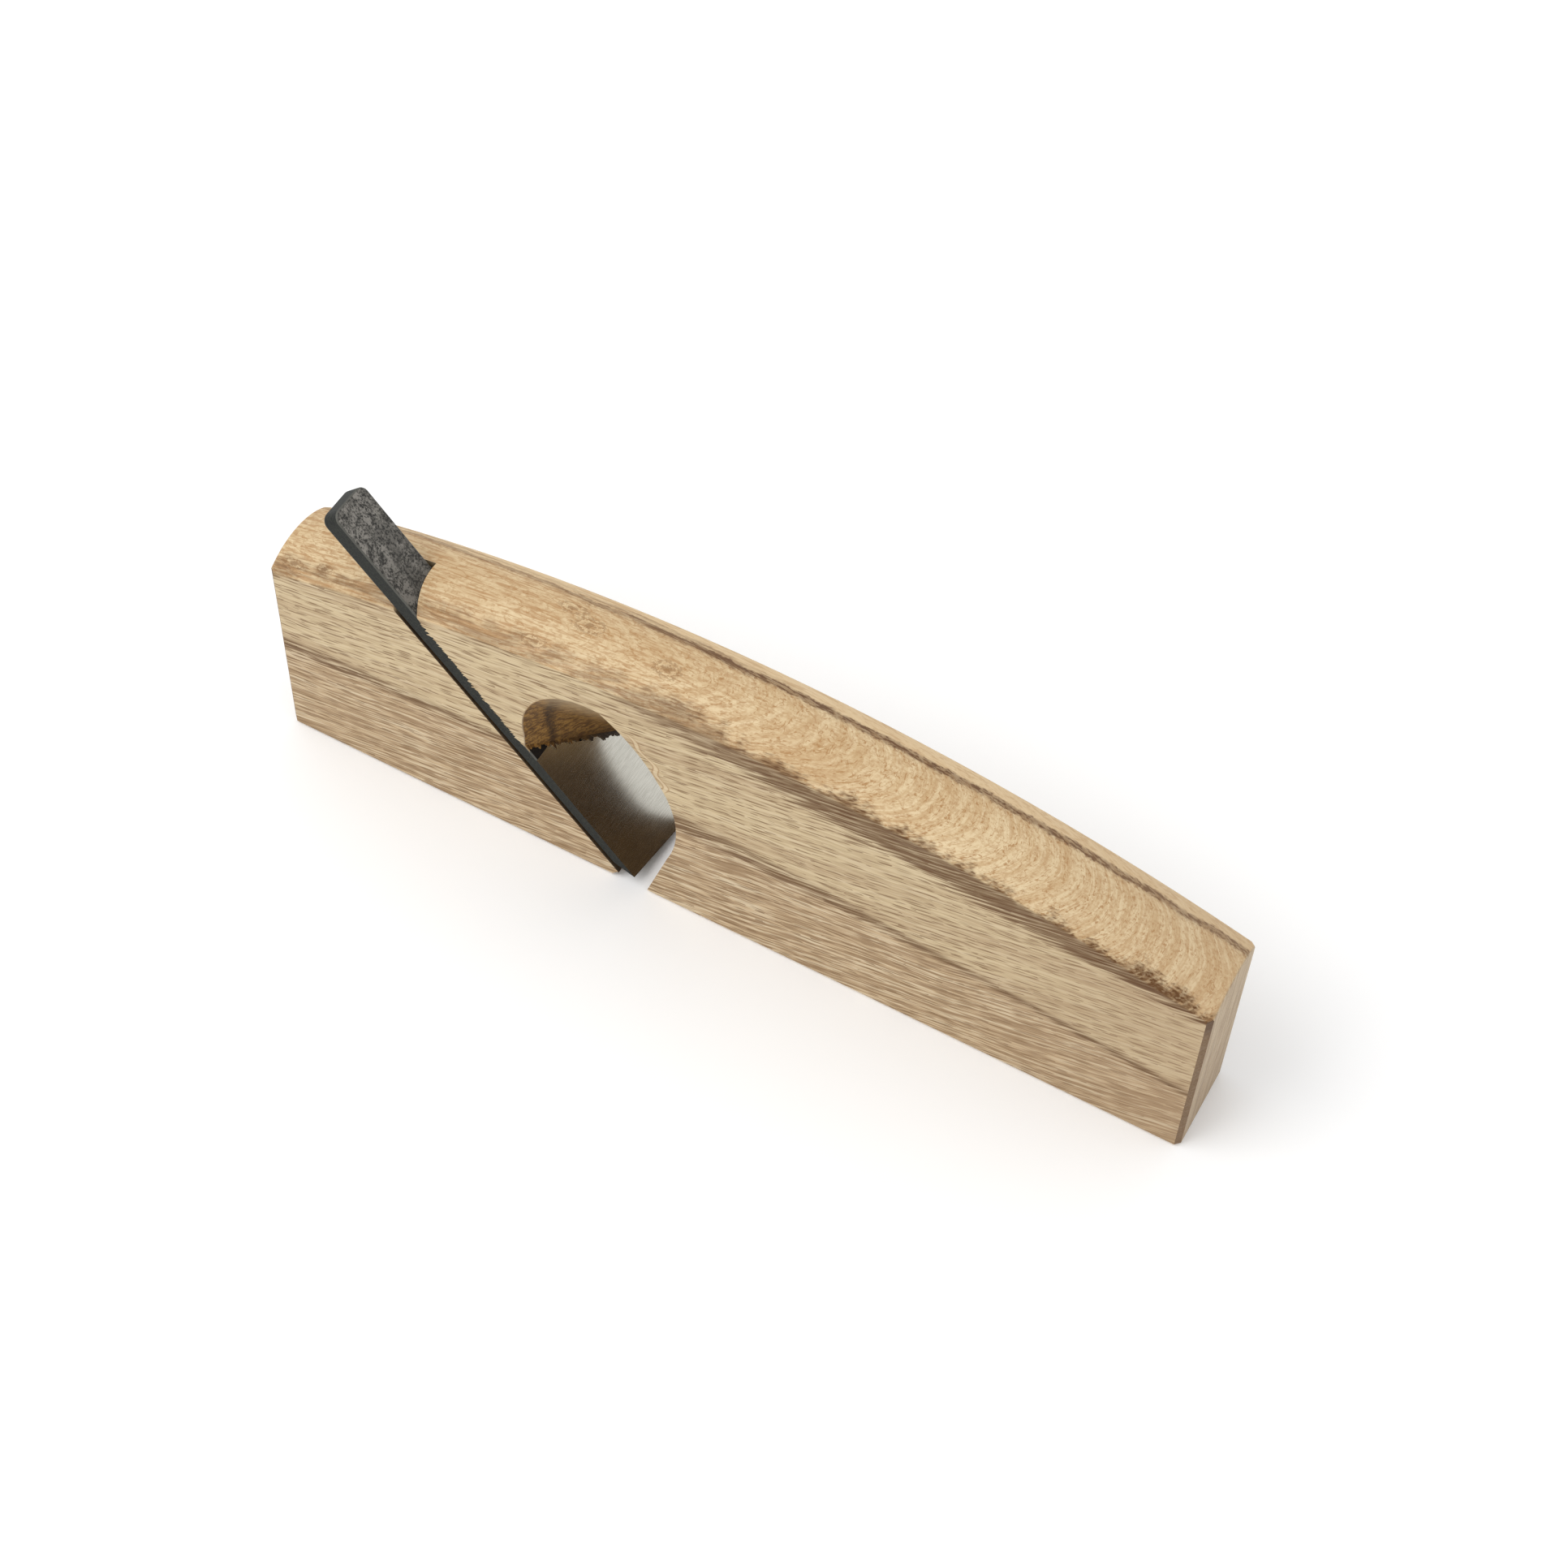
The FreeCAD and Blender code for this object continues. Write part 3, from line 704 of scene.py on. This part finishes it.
def fray_slot(dice, top, bottom, material):
    """Fray the slot's front edge on the near side, with fibres that hang over the blade."""
    form = bmesh.new()
    down = (bottom - top).normalized()
    place = 1.0
    while place < (bottom - top).length - 0.3:
        swing = math.radians(dice.uniform(-28, 30))
        length = dice.uniform(0.2, 0.65) + 0.5 * dice.random() ** 3
        reach = Vector((-math.cos(swing), 0, -math.sin(swing))) * length
        width = down * dice.uniform(0.3, 0.75)
        root = top + down * place + Vector((0, dice.uniform(0.012, 0.03), 0))
        bend = down * dice.uniform(-0.15, 0.1)
        add_fibre(form, root, reach, width, Vector((0, 0.07, 0)), bend)
        place += dice.uniform(0.25, 0.75)
    finish_fringe(form, "fringe_slot", material)


def fray_throat(dice, bottom, far, down, material):
    """Fray the edge between the escapement and the slot, from side to side of the block."""
    form = bmesh.new()
    edge = far - bottom
    along = edge.normalized()
    into_wood = Vector((-down.z, 0, down.x))
    place = 0.3
    while place < edge.length - 0.5:
        length = dice.uniform(0.2, 0.9) + 1.0 * dice.random() ** 3
        reach = (down + along * dice.uniform(-0.5, 0.2)) * length
        width = along * dice.uniform(0.9, 2.1)
        root = bottom + along * place + into_wood * dice.uniform(0.03, 0.08)
        bend = into_wood * dice.uniform(0.0, 0.12)
        add_fibre(form, root, reach, width, into_wood * 0.1, bend)
        place += dice.uniform(0.5, 1.3)
    finish_fringe(form, "fringe_throat", material)


def finish_fringe(form, name, material):
    bmesh.ops.recalc_face_normals(form, faces=form.faces)
    mesh = bpy.data.meshes.new(name)
    form.to_mesh(mesh)
    form.free()
    mesh.materials.append(material)
    fringe = bpy.data.objects.new(name, mesh)
    bpy.context.scene.collection.objects.link(fringe)
    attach(fringe, "block")


def fray_cuts(material):
    dice = random.Random(FRINGE_SEED)
    top = slot_end(-HALF_WIDTH, False)
    bottom = slot_end(-HALF_WIDTH, True)
    far = slot_end(HALF_WIDTH, True)
    fray_slot(dice, top, bottom, material)
    fray_throat(dice, bottom, far, (bottom - top).normalized(), material)


# ---------------------------------------------------------------------------------------------
# Floor, light and camera
# ---------------------------------------------------------------------------------------------
# Places and sizes are in metres.
FLOOR_RADIUS = 4.0
FLOOR_DARK = (0.85, 0.85, 0.85, 1.0)
FLOOR_PALE = (0.87, 0.87, 0.87, 1.0)

WORLD_COLOR = (1.0, 1.0, 1.0, 1.0)
WORLD_STRENGTH = 1.02

LIGHT_PLACE = (-0.55, -0.60, 1.10)
LIGHT_SIZE = 0.9
LIGHT_WATTS = 8.3
PLANE_MIDDLE = Vector((0, 0, 0.03))

# The camera's turn is in degrees, and its lens and sensor are in millimetres.
CAMERA_PLACE = (0.14346, -0.26848, 0.44983)
CAMERA_TURN = (36.083, -1.632, 29.065)
CAMERA_LENS = 69.05
CAMERA_SENSOR = 36.0


def make_floor():
    """A plain pale floor under the sole."""
    s = Shader("floor_pale")
    mottle = s.noise(s.add("TexCoord").outputs["Object"])
    material = s.finish(Base_Color=s.mix(mottle, FLOOR_DARK, FLOOR_PALE), Roughness=0.9)
    mesh = bpy.data.meshes.new("floor")
    form = bmesh.new()
    bmesh.ops.create_circle(form, cap_ends=True, segments=64, radius=FLOOR_RADIUS)
    form.to_mesh(mesh)
    form.free()
    mesh.materials.append(material)
    floor = bpy.data.objects.new("floor", mesh)
    bpy.context.scene.collection.objects.link(floor)


def light_scene():
    """White surroundings, and one square area light aimed at the middle of the plane."""
    world = bpy.data.worlds.new("studio")
    world.use_nodes = True
    background = world.node_tree.nodes["Background"]
    background.inputs["Color"].default_value = WORLD_COLOR
    background.inputs["Strength"].default_value = WORLD_STRENGTH
    bpy.context.scene.world = world
    bpy.context.scene.view_settings.view_transform = "Standard"

    light = bpy.data.lights.new("key", "AREA")
    light.size = LIGHT_SIZE
    light.energy = LIGHT_WATTS
    lamp = bpy.data.objects.new("key", light)
    lamp.location = LIGHT_PLACE
    lamp.rotation_euler = (PLANE_MIDDLE - lamp.location).to_track_quat("-Z", "Y").to_euler()
    bpy.context.scene.collection.objects.link(lamp)


def place_camera():
    data = bpy.data.cameras.new("camera")
    data.sensor_width = CAMERA_SENSOR
    data.lens = CAMERA_LENS
    camera = bpy.data.objects.new("camera", data)
    camera.location = CAMERA_PLACE
    camera.rotation_euler = [math.radians(angle) for angle in CAMERA_TURN]
    bpy.context.scene.collection.objects.link(camera)
    bpy.context.scene.camera = camera


oak = make_oak()
put_on("body_block", oak)
fray_cuts(oak)
put_on("blade_iron", make_forged_iron())
put_on("blade_steel", make_ground_steel())
make_floor()
light_scene()
place_camera()
